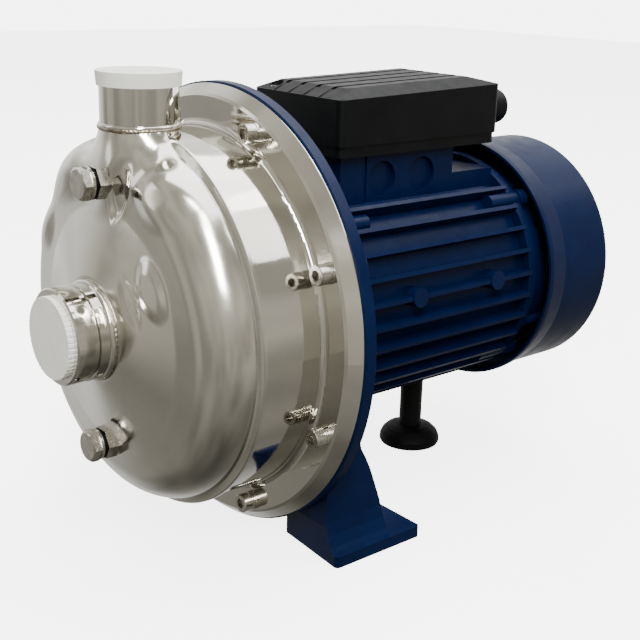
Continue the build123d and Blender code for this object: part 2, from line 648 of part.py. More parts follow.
def fan_cover_screw():
    head = bar(3.6, COVER_REAR, REAR_END, x=POST_CIRCLE)
    cross = block(POST_CIRCLE - 2, POST_CIRCLE + 2, REAR_END - 1, REAR_END + 1, -0.4, 0.4)
    cross = cross + block(POST_CIRCLE - 0.4, POST_CIRCLE + 0.4, REAR_END - 1, REAR_END + 1, -2, 2)
    return head + bar(1.6, COVER_REAR - 12, COVER_REAR, x=POST_CIRCLE) - cross


# ---------------------------------------------------------------- terminal box

LID_PLANE = Pos(0, BOX_FRONT, BOX_RIM) * Rot(LID_TILT, 0, 0)


def box_ring(grow, low, high, wall):
    """Rectangular frame that follows the terminal box outline."""
    x, y0, y1 = BOX_HALF_WIDTH + grow, BOX_FRONT - grow, BOX_REAR + grow
    outer = rounded_plate(-x, x, y0, y1, low, high, 4)
    return outer - block(-x + wall, x - wall, y0 + wall, y1 - wall, low - 1, high + 1)


def terminal_box_base():
    floor = rounded_plate(-BOX_HALF_WIDTH + BOX_STEP, BOX_HALF_WIDTH - BOX_STEP, BOX_FRONT + BOX_STEP,
                          BOX_REAR - BOX_STEP, BOX_BASE, BOX_BASE + BOX_WALL, 4)
    body = floor + box_ring(-BOX_STEP, BOX_BASE, BOX_SPLIT, BOX_WALL) - block(-14, 14, 86, 114, 70, 90)
    for x, y in COVER_SCREWS:
        body = body + post(3.6, BOX_BASE, COVER_SCREW_BED - 2, x=x, y=y) - post(1.7, 92, 109, x=x, y=y)
    return body


def lid_form(inset):
    """Straight sides under a bevelled top that rises a little towards the rear."""
    x, y0, y1 = BOX_HALF_WIDTH - inset, BOX_FRONT + inset, BOX_REAR - inset
    sides = rounded_plate(-x, x, y0, y1, BOX_SPLIT - (1 if inset else 0), BOX_RIM + 10, 4)
    under = LID_PLANE * block(-60, 60, -10, 150, -60, -inset)
    middle = (BOX_REAR - BOX_FRONT) / 2
    bottom = LID_PLANE * Pos(0, middle, -inset) * Rectangle(2 * x - 2, y1 - y0 - 2)
    top = LID_PLANE * Pos(0, middle - 3, LID_RISE - inset) * Rectangle(*PLATEAU)
    return (sides & under) + loft([bottom, top])


def terminal_box_cover():
    """Bevelled lid with lengthwise grooves and two recessed screws."""
    outside = lid_form(0)
    body = outside - lid_form(BOX_WALL)
    for x, y in COVER_SCREWS:
        body = body + (post(5.5, COVER_SCREW_BED - 1.8, 120, x=x, y=y) & outside)
    half = GROOVE_WIDTH / 2
    rear = (BOX_REAR - BOX_FRONT - 6 + PLATEAU[1]) / 2 + 1
    for x in GROOVES:
        body = body - LID_PLANE * block(x - half, x + half, 6, rear, LID_RISE - GROOVE_DEPTH, LID_RISE + 1)
        body = body - LID_PLANE * Pos(x, 5, 2.4) * Rot(24, 0, 0) * Box(GROOVE_WIDTH, 10, 2)
    for x, y in COVER_SCREWS:
        body = body - post(4, COVER_SCREW_BED, 130, x=x, y=y) - post(2, 90, 130, x=x, y=y)
    return body - bar(GLAND_THREAD, BOX_REAR - 5, BOX_REAR + 1, x=GLAND_X, z=GLAND_Z)


def cover_screw(x, y):
    head = post(3.6, 110, 112, x=x, y=y) - block(x - 3, x + 3, y - 0.4, y + 0.4, 111.3, 113)
    return head + post(1.6, 94, 110, x=x, y=y)


def terminal_block():
    body = block(-22, 22, 60, 82, BOX_BASE + BOX_WALL, 93)
    for x in (-15, -5, 5, 15):
        body = body + post(2.6, 92, 96, x=x, y=71)
        body = body - block(x + 4.4, x + 5.6, 59, 83, 89, 94)
    return body


def run_capacitor():
    can = bar(12.5, 92, 156, x=-14, z=95.2)
    tags = block(-18, -17, 86, 93, 92, 98) + block(-11, -10, 86, 93, 92, 98)
    return can + tags


def cable_gland():
    """Threaded gland body with a hexagon collar outside the box."""
    thread = bar(GLAND_THREAD, BOX_REAR - 8, BOX_REAR + 6, x=GLAND_X, z=GLAND_Z)
    locknut = hex_bar(17, BOX_REAR - 6.5, BOX_REAR - BOX_WALL, x=GLAND_X, z=GLAND_Z)
    collar = hex_bar(19, BOX_REAR, BOX_REAR + 6, x=GLAND_X, z=GLAND_Z)
    bore = bar(5, BOX_REAR - 10, BOX_REAR + 10, x=GLAND_X, z=GLAND_Z)
    return thread + locknut + collar - bore


def gland_seal():
    return ring(5.4, 4.2, BOX_REAR + 6, BOX_REAR + 12, x=GLAND_X, z=GLAND_Z)


def gland_nut():
    nut = bar(10.3, BOX_REAR + 6, BOX_REAR + 18.5, x=GLAND_X, z=GLAND_Z)
    nut = fillet(nut.edges().group_by(Axis.Y)[-1], 3.5)
    nut = nut - bar(5.4, BOX_REAR + 5, BOX_REAR + 12, x=GLAND_X, z=GLAND_Z)
    return nut - bar(4.5, BOX_REAR + 5, BOX_REAR + 20, x=GLAND_X, z=GLAND_Z)


def terminal_box_gasket():
    return block(-31, 31, PAD_FRONT + 1, PAD_REAR - 1, PAD_TOP, BOX_BASE) - block(-16, 16, 84, 116, 70, 90)


# ---------------------------------------------------------------- feet and port caps

def motor_foot_stem():
    bed = FLOOR + MOTOR_FOOT_HEIGHT / 2
    stud = post(STUD_RADIUS, STEM_TOP - 1, -62, x=MOTOR_FOOT_X, y=MOTOR_FOOT_Y)
    return stud + post(STEM_RADIUS, bed, STEM_TOP, x=MOTOR_FOOT_X, y=MOTOR_FOOT_Y)


def motor_foot():
    """Domed rubber foot moulded round the end of the stem."""
    radius, height = MOTOR_FOOT_RADIUS, MOTOR_FOOT_HEIGHT
    outline = Polyline((0, 0), (radius - 0.8, 0), (radius, 1.5), (radius - 0.2, 4.5), (radius - 1.6, 7.5),
                       (radius - 4.4, 10.2), (radius - 8.0, height - 0.8), (STEM_RADIUS, height),
                       (STEM_RADIUS, height / 2), (0, height / 2), close=True)
    return Pos(MOTOR_FOOT_X, MOTOR_FOOT_Y, FLOOR) * revolve(Plane.XZ * make_face(outline), Axis.Z)


def suction_cap():
    """Plastic dust cap with a serrated rim that sits in the suction mouth."""
    disc = bar(SUCTION_MOUTH - 0.15, FRONT_END, SUCTION_FACE + MOUTH_DEPTH)
    hollow = bar(17, FRONT_END + 1.5, SUCTION_FACE + MOUTH_DEPTH + 1)
    notch = bar(0.7, FRONT_END - 1, SUCTION_FACE, x=SUCTION_MOUTH + 0.2)
    disc = disc - hollow
    for cut in around(notch, spread(48)):
        disc = disc - cut
    return disc


def discharge_cap():
    """Plastic dust cap that sits on the discharge stub."""
    outline = Polyline((0, DISCHARGE_CAP_TOP), (21.2, DISCHARGE_CAP_TOP), (20.6, DISCHARGE_TOP),
                       (DISCHARGE_MOUTH - 0.1, DISCHARGE_TOP), (DISCHARGE_MOUTH - 0.1, DISCHARGE_TOP - 3),
                       (14, DISCHARGE_TOP - 3), (14, DISCHARGE_CAP_TOP - 1.6), (0, DISCHARGE_CAP_TOP - 1.6),
                       close=True)
    return Pos(0, DISCHARGE_Y, 0) * revolve(Plane.XZ * make_face(outline), Axis.Z)


def write_pump_end():
    save("casing_bowl", casing_bowl())
    save("casing_flange", casing_flange())
    save("suction_collar", suction_collar())
    save("discharge_stub", discharge_stub())
    for name, height in (("fill", FILL_HEIGHT), ("drain", DRAIN_HEIGHT)):
        save(f"{name}_boss", plug_boss(height))
        save(f"{name}_plug", pipe_plug(height))
        save(f"{name}_o_ring", plug_seal(height))
    save("suction_guide", suction_guide())
    save("wear_ring", ring(27.2, 24.3, -63, -56.5))
    save("casing_screws", *around(casing_screw(), SCREW_ANGLES))
    save("lock_washers", *around(lock_washer(), SCREW_ANGLES))
    save("casing_o_ring", o_ring(-1.5, 97.4, 1.45))
    save("seal_plate", seal_plate())
    save("seal_seat", seal_seat())
    save("suction_cap", suction_cap())
    save("discharge_cap", discharge_cap())


def write_rotor():
    save("shaft", shaft())
    save("rotor_core", rotor_core())
    save("impeller", impeller())
    save("impeller_nut", impeller_nut())
    save("impeller_washer", ring(9, 5, -55.5, -54))
    save("impeller_key", block(-2, 2, -50, -35, 4.5, 9.5))
    save("seal_head", seal_head())
    save("seal_spring", seal_spring())
    save("water_slinger", turned((9, 9), (9, 14), (11, 22), (12.5, 22), (12.5, 14), (16, 12), (16, 9)))
    save("cooling_fan", cooling_fan())
    save("fan_circlip", fan_circlip())
    for name, bearing in (("front", FRONT_BEARING), ("rear", REAR_BEARING)):
        save(f"{name}_bearing_inner", race(bearing, inner=True))
        save(f"{name}_bearing_outer", race(bearing, inner=False))
        save(f"{name}_bearing_balls", *balls(bearing))
        save(f"{name}_bearing_cage", cage(bearing))


def write_motor():
    save("motor_bracket", motor_bracket())
    save("pump_foot", pump_foot())
    save("foot_screws", *around(foot_screw(), FOOT_SCREW_ANGLES))
    save("motor_frame", motor_frame())
    save("end_shield_screws", *end_shield_screws())
    save("stator_core", stator_core())
    save("stator_windings", *stator_windings())
    save("rear_end_shield", rear_end_shield())
    save("wave_washer", ring(19.5, 15, 190, 191.5))
    save("fan_cover", fan_cover())
    save("fan_cover_screws", *around(fan_cover_screw(), spread(3, 90)))
    save("motor_foot_stem", motor_foot_stem())
    save("motor_foot", motor_foot())


def write_terminal_box():
    save("terminal_box_base", terminal_box_base())
    save("terminal_box_cover", terminal_box_cover())
    save("terminal_cover_screws", *[cover_screw(x, y) for x, y in COVER_SCREWS])
    save("terminal_box_gasket", terminal_box_gasket())
    save("terminal_block", terminal_block())
    save("run_capacitor", run_capacitor())
    save("cable_gland", cable_gland())
    save("gland_seal", gland_seal())
    save("gland_nut", gland_nut())


os.makedirs("parts", exist_ok=True)
write_pump_end()
write_rotor()
write_motor()
write_terminal_box()
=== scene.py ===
import json
import math

import bmesh
import bpy
from mathutils import Matrix, Vector


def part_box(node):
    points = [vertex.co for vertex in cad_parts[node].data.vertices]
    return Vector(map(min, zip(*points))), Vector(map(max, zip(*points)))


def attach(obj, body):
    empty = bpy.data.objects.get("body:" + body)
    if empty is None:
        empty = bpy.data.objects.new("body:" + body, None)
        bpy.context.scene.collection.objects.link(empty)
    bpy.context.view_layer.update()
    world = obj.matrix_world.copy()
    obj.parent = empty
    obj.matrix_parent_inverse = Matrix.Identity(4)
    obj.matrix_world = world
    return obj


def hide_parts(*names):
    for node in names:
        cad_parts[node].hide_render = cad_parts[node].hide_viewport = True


# Looks of a stainless centrifugal pump with a finned blue motor.
# Lengths in this script are millimetres from the shaft axis and from the joint between the pump's
# casing and the motor's flange, as in the CAD source; at() turns them into metres of the frame.

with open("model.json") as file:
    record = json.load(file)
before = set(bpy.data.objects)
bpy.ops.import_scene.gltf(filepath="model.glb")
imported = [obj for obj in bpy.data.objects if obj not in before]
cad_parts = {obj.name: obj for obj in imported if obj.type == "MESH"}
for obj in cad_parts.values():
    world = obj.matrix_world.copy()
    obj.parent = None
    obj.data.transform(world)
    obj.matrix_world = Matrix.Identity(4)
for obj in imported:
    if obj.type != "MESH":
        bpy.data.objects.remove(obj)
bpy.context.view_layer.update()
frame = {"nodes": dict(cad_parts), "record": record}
MM = 0.001
FLANGE_LOW, FLANGE_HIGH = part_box("casing_flange")
JOINT_Y = FLANGE_HIGH.y
AXIS_Z = (FLANGE_LOW.z + FLANGE_HIGH.z) / 2

# Casing bowl
SHEET = 2.0
BOWL_BACK = -41.4
BOWL_RADIUS = 94.5
LIP_RADIUS = 98.4
SHOULDER = 22.0
SHOULDER_Y = -44.5
FACE_RADIUS = 62.0
FACE_Y = -68.0
NOSE_RADIUS = 27.0
NOSE_Y = -77.5
SUCTION_BORE = 19.6

# Discharge neck
NECK_Y = -47.2
NECK_RADIUS = 19.5
NECK_BORE = 17.5
NECK_TOP = 99.4
NECK_BOTTOM = 76.0
NECK_FLARE = 15.0
NECK_FOOT = 78.0
OPENING_LOWEST = 39.0

# Suction collar and welds
COLLAR_RADIUS = 24.5
WELD_RIPPLE = 0.12
WELD_RIPPLES = 62
DISCHARGE_BEAD = 1.35
COLLAR_BEAD = 1.4

# Rounding of cast and moulded edges
SOFT_EDGES = {"pump_foot": 1.2, "terminal_box_cover": 0.6, "terminal_box_base": 0.6, "motor_bracket": 0.5}

# Camera, measured from the middle of the flange joint along its own right, up and back
CAMERA_AZIMUTH = 49.798
CAMERA_ELEVATION = 17.565
CAMERA_ROLL = 1.617
CAMERA_OFFSET = (54.6, -8.37, 610.05)
CAMERA_LENS = 63.28

# Softboxes: name, azimuth, elevation, distance, width and height (metres), power (watts)
LIGHTS = (
    ("key", 58, 42, 1.6, 0.34, 1.0, 34),
    ("spot", 62, 66, 1.6, 0.3, 0.3, 6),
    ("top", 200, 72, 2.2, 2.0, 2.0, 60),
    ("fill", -40, 25, 1.8, 0.5, 1.2, 3),
    ("rear", 150, 45, 1.8, 1.0, 0.8, 8),
)

# Light of the surroundings
ROOM_PALE = (1.6, 1.6, 1.58, 1)
ROOM_GREY = (0.62, 0.595, 0.52, 1)
ROOM_UNDER = 0.18
ROOM_DARKEST, ROOM_BRIGHTEST = 0.72, 1.28
BACKDROP = (6.0, 6.0, 6.0, 1)
FLOOR_GLOW = 4.0


def at(x, y, z):
    """A point in metres of the frame from shaft coordinates in millimetres."""
    return Vector((x * MM, y * MM + JOINT_Y, z * MM + AXIS_Z))


def on_shaft(radius, y, angle):
    """A point at a radius and angle (degrees from +X towards +Z) about the shaft."""
    turn = math.radians(angle)
    return Vector((radius * math.cos(turn), y, radius * math.sin(turn)))


# ---------------------------------------------------------------- materials

def material(name, colour, rough, metal=0.0, **sockets):
    """New node material with one Principled shader; sockets are set on the shader itself."""
    made = bpy.data.materials.new(name)
    made.use_nodes = True
    shader = made.node_tree.nodes["Principled BSDF"]
    shader.inputs["Base Color"].default_value = (*colour, 1)
    shader.inputs["Roughness"].default_value = rough
    shader.inputs["Metallic"].default_value = metal
    for socket, value in sockets.items():
        shader.inputs[socket.replace("_", " ")].default_value = value
    return made


def add(made, kind, **inputs):
    node = made.node_tree.nodes.new(kind)
    for socket, value in inputs.items():
        node.inputs[socket.replace("_", " ")].default_value = value
    return node


def link(made, source, target):
    made.node_tree.links.new(source, target)


def noise(made, scale, detail=4.0, rough=0.55, stretch=(1, 1, 1)):
    """Noise over the object's own coordinates, which are metres."""
    place = add(made, "ShaderNodeTexCoord")
    mapping = add(made, "ShaderNodeMapping", Scale=stretch)
    texture = add(made, "ShaderNodeTexNoise", Scale=scale, Detail=detail, Roughness=rough)
    link(made, place.outputs["Object"], mapping.inputs["Vector"])
    link(made, mapping.outputs["Vector"], texture.inputs["Vector"])
    return texture.outputs["Fac"]


def ranged(made, value, low, high, start=0.3, end=0.7):
    """A value from start to end spread over low to high."""
    spread = add(made, "ShaderNodeMapRange", From_Min=start, From_Max=end, To_Min=low, To_Max=high)
    link(made, value, spread.inputs["Value"])
    return spread.outputs["Result"]


def blend_colours(made, factor, first, second):
    mix = made.node_tree.nodes.new("ShaderNodeMix")
    mix.data_type = "RGBA"
    mix.inputs[6].default_value = (*first, 1)
    mix.inputs[7].default_value = (*second, 1)
    link(made, factor, mix.inputs[0])
    return mix.outputs[2]


def shader_of(made):
    return made.node_tree.nodes["Principled BSDF"]


def vary(made, first, second, scale, rough, bump=0.0, bump_scale=0.0, depth=0.1):
    """Uneven colour and roughness, with a fine bump whose depth is in millimetres."""
    shader = shader_of(made)
    link(made, blend_colours(made, ranged(made, noise(made, scale), 0, 1), first, second),
         shader.inputs["Base Color"])
    link(made, ranged(made, noise(made, scale * 2.3), *rough), shader.inputs["Roughness"])
    if bump:
        relief = add(made, "ShaderNodeBump", Strength=bump, Distance=depth * MM)
        link(made, noise(made, bump_scale), relief.inputs["Height"])
        link(made, relief.outputs["Normal"], shader.inputs["Normal"])
    return made


def polished_steel():
    """Buffed stainless sheet: a soft mirror with slow waves and faint smears."""
    made = material("polished_steel", (0.62, 0.605, 0.555), 0.07, 1.0)
    return vary(made, (0.60, 0.585, 0.53), (0.66, 0.645, 0.60), scale=28, rough=(0.045, 0.11),
                bump=0.35, bump_scale=26, depth=0.35)


def satin_steel():
    """Softer buffed sheet of the pressed bowl."""
    made = material("satin_steel", (0.62, 0.605, 0.555), 0.16, 1.0)
    return vary(made, (0.58, 0.567, 0.515), (0.67, 0.655, 0.605), scale=22, rough=(0.11, 0.21),
                bump=0.35, bump_scale=26, depth=0.35)


def fastener_steel():
    made = material("fastener_steel", (0.50, 0.48, 0.43), 0.2, 1.0)
    return vary(made, (0.40, 0.385, 0.34), (0.58, 0.56, 0.51), scale=220, rough=(0.14, 0.30),
                bump=0.2, bump_scale=900, depth=0.05)


def ground_steel():
    made = material("ground_steel", (0.52, 0.52, 0.53), 0.25, 1.0)
    return vary(made, (0.46, 0.46, 0.47), (0.58, 0.58, 0.59), scale=150, rough=(0.18, 0.32),
                bump=0.2, bump_scale=1400, depth=0.03)


def blue_paint():
    """Navy enamel over cast metal with a slight orange peel."""
    made = material("blue_paint", (0.0008, 0.006, 0.033), 0.32, 0.0, Specular_IOR_Level=0.1)
    return vary(made, (0.0006, 0.0048, 0.028), (0.001, 0.0072, 0.038), scale=45, rough=(0.26, 0.40),
                bump=0.25, bump_scale=420, depth=0.12)


def black_plastic():
    made = material("black_plastic", (0.002, 0.0025, 0.003), 0.45, Specular_IOR_Level=0.13)
    return vary(made, (0.0015, 0.002, 0.0024), (0.003, 0.0036, 0.004), scale=60, rough=(0.38, 0.52),
                bump=0.3, bump_scale=1600, depth=0.05)


def rubber():
    made = material("rubber", (0.0012, 0.0014, 0.002), 0.6, Specular_IOR_Level=0.08)
    return vary(made, (0.0009, 0.001, 0.0015), (0.002, 0.0022, 0.003), scale=90, rough=(0.5, 0.7),
                bump=0.3, bump_scale=1300, depth=0.06)


def white_plastic():
    made = material("white_plastic", (0.84, 0.845, 0.81), 0.5, Subsurface_Weight=0.25)
    shader_of(made).inputs["Subsurface Radius"].default_value = (0.002, 0.002, 0.0015)
    return vary(made, (0.81, 0.815, 0.78), (0.87, 0.875, 0.84), scale=120, rough=(0.42, 0.55),
                bump=0.2, bump_scale=700, depth=0.08)


def grey_plastic():
    made = material("grey_plastic", (0.30, 0.31, 0.31), 0.5)
    return vary(made, (0.27, 0.28, 0.28), (0.33, 0.34, 0.34), scale=80, rough=(0.42, 0.58),
                bump=0.2, bump_scale=1200, depth=0.05)


def ceramic():
    made = material("ceramic", (0.72, 0.70, 0.64), 0.25)
    return vary(made, (0.68, 0.66, 0.60), (0.76, 0.74, 0.68), scale=200, rough=(0.2, 0.3),
                bump=0.1, bump_scale=1500, depth=0.02)


def carbon():
    made = material("carbon", (0.03, 0.03, 0.03), 0.45)
    return vary(made, (0.02, 0.02, 0.02), (0.045, 0.045, 0.045), scale=300, rough=(0.38, 0.52),
                bump=0.15, bump_scale=1800, depth=0.02)


def lamination():
    """Edges of stacked sheets, lined across the shaft."""
    made = material("lamination", (0.20, 0.20, 0.21), 0.45, 0.8)
    made = vary(made, (0.15, 0.15, 0.16), (0.26, 0.26, 0.27), scale=60, rough=(0.38, 0.55))
    relief = add(made, "ShaderNodeBump", Strength=0.5, Distance=0.1 * MM)
    link(made, noise(made, 60, 1.0, stretch=(0.01, 30, 0.01)), relief.inputs["Height"])
    link(made, relief.outputs["Normal"], shader_of(made).inputs["Normal"])
    return made


def copper():
    made = material("copper", (0.55, 0.22, 0.08), 0.35, 0.7)
    return vary(made, (0.45, 0.17, 0.06), (0.66, 0.28, 0.11), scale=250, rough=(0.28, 0.42),
                bump=0.6, bump_scale=500, depth=0.4)


def aluminium():
    made = material("aluminium", (0.55, 0.56, 0.57), 0.42, 1.0)
    return vary(made, (0.48, 0.49, 0.50), (0.62, 0.63, 0.64), scale=70, rough=(0.36, 0.52),
                bump=0.4, bump_scale=600, depth=0.1)


def brass():
    made = material("brass", (0.60, 0.43, 0.16), 0.28, 1.0)
    return vary(made, (0.52, 0.36, 0.12), (0.68, 0.50, 0.21), scale=130, rough=(0.22, 0.36),
                bump=0.2, bump_scale=900, depth=0.04)


def weld_steel():
    """Heat-tinted, uneven weld seam."""
    made = material("weld_steel", (0.40, 0.34, 0.26), 0.3, 1.0)
    return vary(made, (0.14, 0.11, 0.07), (0.45, 0.41, 0.34), scale=180, rough=(0.25, 0.5),
                bump=1.0, bump_scale=420, depth=0.5)


MATERIALS = {
    "polished_steel": polished_steel, "steel": fastener_steel, "shaft_steel": ground_steel,
    "blue_paint": blue_paint, "black_plastic": black_plastic, "rubber": rubber,
    "white_plastic": white_plastic, "ceramic": ceramic, "carbon": carbon, "lamination": lamination,
    "copper": copper, "aluminium": aluminium, "grey_plastic": grey_plastic, "brass": brass,
}


def paint_cad_nodes():
    """Every CAD node takes the material of its slot in the record."""
    made = {slot: make() for slot, make in MATERIALS.items()}
    for part in frame["record"]["subparts"]:
        mesh = frame["nodes"][part["node"]].data
        mesh.materials.clear()
        mesh.materials.append(made[part["material_slot"]])
    return made


# ---------------------------------------------------------------- mesh helpers

def piece(name, mesh, surface, replaced=()):
    """Links a mesh as a piece of the pump's body."""
    made = bpy.data.objects.new(name, mesh)
    bpy.context.scene.collection.objects.link(made)
    mesh.materials.append(surface)
    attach(made, "pump_body")
    if replaced:
        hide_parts(*replaced)
    return made


def finished_mesh(name, bm, sharp_angle=40):
    """Mesh of a bmesh, smooth except across sharp edges."""
    bmesh.ops.recalc_face_normals(bm, faces=bm.faces)
    mesh = bpy.data.meshes.new(name)
    bm.to_mesh(mesh)
    bm.free()
    mesh.polygons.foreach_set("use_smooth", [True] * len(mesh.polygons))
    mesh.set_sharp_from_angle(angle=math.radians(sharp_angle))
    return mesh


def outline_normals(outline):
    """Unit normals (radius, y) of a closed outline that runs from back to front on its outside."""
    normals = []
    size = len(outline)
    for i in range(size):
        before, after = outline[i - 1], outline[(i + 1) % size]
        run, rise = after[0] - before[0], after[1] - before[1]
        length = math.hypot(run, rise) or 1.0
        normals.append((-rise / length, run / length))
    return normals


def lathe(outline, count, shift=None):
    """Closed skin turned about the shaft from (radius, y) points; shift moves each point."""
    bm = bmesh.new()
    normals = outline_normals(outline)
    rings = []
    for step in range(count):
        angle = 360 * step / count
        here = []
        for (radius, y), (out, along) in zip(outline, normals):
            p = on_shaft(radius, y, angle)
            if shift:
                p = shift(p, on_shaft(out, along, angle))
            here.append(bm.verts.new(at(*p)))
        rings.append(here)
    size = len(outline)
    for step, here in enumerate(rings):
        there = rings[(step + 1) % count]
        for i in range(size):
            j = (i + 1) % size
            bm.faces.new((here[i], here[j], there[j], there[i]))
    return bm


def arc(centre, radius, start, end, steps):
    """Points (radius, y) on an arc, angles in degrees from outwards towards the front."""
    turns = [math.radians(start + (end - start) * i / steps) for i in range(steps + 1)]
    return [(centre[0] + radius * math.cos(t), centre[1] - radius * math.sin(t)) for t in turns]


def line(first, last, steps):
    """Points from first towards last, without the last one."""
    shares = [i / steps for i in range(steps)]
    return [(first[0] + (last[0] - first[0]) * s, first[1] + (last[1] - first[1]) * s) for s in shares]


def smooth(value):
    value = min(1.0, max(0.0, value))
    return value * value * (3 - 2 * value)


# ---------------------------------------------------------------- casing bowl

def bowl_outline():
    """Outside of the bowl from its lip to the nose, then back along the inside."""
    crown = (BOWL_RADIUS - SHOULDER, SHOULDER_Y)
    outside = [(LIP_RADIUS, BOWL_BACK), (LIP_RADIUS, BOWL_BACK - 1.6), (LIP_RADIUS - 0.5, BOWL_BACK - 2.1),
               (BOWL_RADIUS + 0.4, BOWL_BACK - 2.8)]
    outside += arc(crown, SHOULDER, 0, 86, 48)
    outside += line(outside[-1], (FACE_RADIUS, FACE_Y), 8)[1:]
    outside += line((FACE_RADIUS, FACE_Y), (NOSE_RADIUS, NOSE_Y), 36)
    outside += line((NOSE_RADIUS, NOSE_Y), (SUCTION_BORE, NOSE_Y), 3)
    inside = [(SUCTION_BORE, NOSE_Y), (SUCTION_BORE, NOSE_Y + SHEET), (NOSE_RADIUS, NOSE_Y + SHEET)]
    inside += line((NOSE_RADIUS, NOSE_Y + SHEET), (FACE_RADIUS, FACE_Y + SHEET), 8)[1:]
    inside += arc(crown, SHOULDER - SHEET, 86, 0, 16)
    inside += [(BOWL_RADIUS - SHEET, BOWL_BACK)]
    return outside + inside


def soft_union(first, second, reach):
    """Smooth minimum of two distances."""
    overlap = max(reach - abs(first - second), 0) / reach
    return min(first, second) - overlap * overlap * reach / 4


def in_root(p, normal, travel):
    """Whether a point lifted off the bowl is still inside the fillet round the neck."""
    q = p + normal * travel
    to_neck = math.dist((q.x, q.y, min(q.z, NECK_FOOT)), (0, NECK_Y, NECK_FOOT)) - NECK_RADIUS
    return q.z < NECK_TOP and soft_union(travel, to_neck, NECK_FLARE) < 0


def root_lift(p, normal):
    """How far a point of the bowl moves out to join the discharge neck in a soft fillet."""
    low = high = 0.0
    while high < NECK_TOP and in_root(p, normal, high):
        low, high = high, high + 1.0
    for _ in range(12 if high else 0):
        middle = (low + high) / 2
        low, high = (middle, high) if in_root(p, normal, middle) else (low, middle)
    return high


# Pressed features on the bowl's front: middle radius and angle, half sizes in radius and angle,
# lean of the middle line (mm of radius at the ends of the arc), height and edge softness.
PRESSINGS = (
    (72.0, 80.0, 17.0, 6.5, 0.0, -2.2, 0.50),
    (54.0, 33.0, 10.0, 19.0, 1.5, 1.7, 0.60),
    (38.5, 34.0, 6.0, 24.0, 2.0, -0.7, 0.60),
    (83.0, 60.0, 15.0, 15.0, 0.0, 2.0, 0.80),
    (86.0, 118.0, 20.0, 26.0, 0.0, 5.5, 1.00),
    (78.0, 152.0, 13.0, 14.0, 0.0, 1.6, 0.90),
)


def pressing_height(p):
    """Height of all pressed features at a point on the bowl's front."""
    here, angle_here = math.hypot(p.x, p.z), math.degrees(math.atan2(p.z, p.x))
    height = 0.0
    for radius, angle, half_radius, half_angle, lean, tall, edge in PRESSINGS:
        u = ((angle_here - angle + 180) % 360 - 180) / half_angle
        v = (here - radius - lean * u * u) / half_radius
        height += tall * smooth((1 - math.hypot(u, v)) / edge)
    return height


def shape_bowl(p, normal):
    """Adds the pressings and the neck's root to a point of the plain bowl."""
    if normal.y > 0.3 or p.y > BOWL_BACK - 2.5 or (p.x * normal.x + p.z * normal.z) < -1e-6:
        return p
    return p + normal * (pressing_height(p) + root_lift(p, normal))


def cut_neck(bm):
    """Opens the skin under the discharge."""
    middle = at(0, NECK_Y, 0)
    inside = [v for v in bm.verts if v.co.z > AXIS_Z + OPENING_LOWEST * MM
              and math.hypot(v.co.x - middle.x, v.co.y - middle.y) < (NECK_RADIUS - 0.6) * MM]
    bmesh.ops.delete(bm, geom=inside, context="VERTS")


def casing_bowl(surface):
    bm = lathe(bowl_outline(), 540, shape_bowl)
    cut_neck(bm)
    piece("bowl", finished_mesh("bowl", bm, 30), surface, ["casing_bowl"])


def discharge_neck(surface):
    """Upright tube between the bowl and the discharge weld."""
    bm = bmesh.new()
    count = 128
    turns = [2 * math.pi * i / count for i in range(count)]
    levels = [(NECK_RADIUS, NECK_BOTTOM), (NECK_RADIUS, NECK_TOP), (NECK_BORE, NECK_TOP),
              (NECK_BORE, NECK_BOTTOM)]
    rings = []
    for radius, z in levels:
        points = [at(radius * math.cos(t), NECK_Y + radius * math.sin(t), z) for t in turns]
        rings.append([bm.verts.new(point) for point in points])
    for here, there in zip(rings, rings[1:]):
        for i in range(count):
            j = (i + 1) % count
            bm.faces.new((here[i], here[j], there[j], there[i]))
    piece("discharge_neck", finished_mesh("discharge_neck", bm), surface)


def bead_swell(turn):
    """Share of a weld's full thickness at a turn round the pipe: even ripples on uneven swells."""
    ripple = WELD_RIPPLE * abs(math.sin(WELD_RIPPLES * turn / 2))
    return 0.86 + ripple + 0.05 * math.sin(5 * turn) + 0.04 * math.sin(11 * turn)


def weld_bead(name, middle, axis, radius, thickness, surface):
    """Rippled weld seam round a pipe; axis is "y" or "z"."""
    bm = bmesh.new()
    count, around = 480, 14
    rings = []
    for step in range(count):
        turn = 2 * math.pi * step / count
        bead = thickness * bead_swell(turn)
        ring = []
        for i in range(around):
            lean = 2 * math.pi * i / around
            out, along = radius + bead * math.cos(lean), bead * math.sin(lean)
            a, b = out * math.cos(turn), out * math.sin(turn)
            offset = (a, along, b) if axis == "y" else (a, b, along)
            ring.append(bm.verts.new(at(*(m + o for m, o in zip(middle, offset)))))
        rings.append(ring)
    for step, here in enumerate(rings):
        there = rings[(step + 1) % count]
        for i in range(around):
            j = (i + 1) % around
            bm.faces.new((here[i], here[j], there[j], there[i]))
    piece(name, finished_mesh(name, bm, 60), surface)


def soften_edges(node, width, segments=2, angle=32):
    """Rounds the sharp edges of a CAD node."""
    bevel = frame["nodes"][node].modifiers.new("soft_edges", "BEVEL")
    bevel.width = width * MM
    bevel.segments = segments
    bevel.limit_method = "ANGLE"
    bevel.angle_limit = math.radians(angle)
    bevel.harden_normals = True


# ---------------------------------------------------------------- studio

def camera_axes():
    turn, rise, roll = (math.radians(a) for a in (CAMERA_AZIMUTH, CAMERA_ELEVATION, CAMERA_ROLL))
    back = Vector((math.sin(turn) * math.cos(rise), -math.cos(turn) * math.cos(rise), math.sin(rise)))
    level = Vector((math.cos(turn), math.sin(turn), 0))
    up = back.cross(level)
    right = math.cos(roll) * level + math.sin(roll) * up
    return right, back.cross(right), back


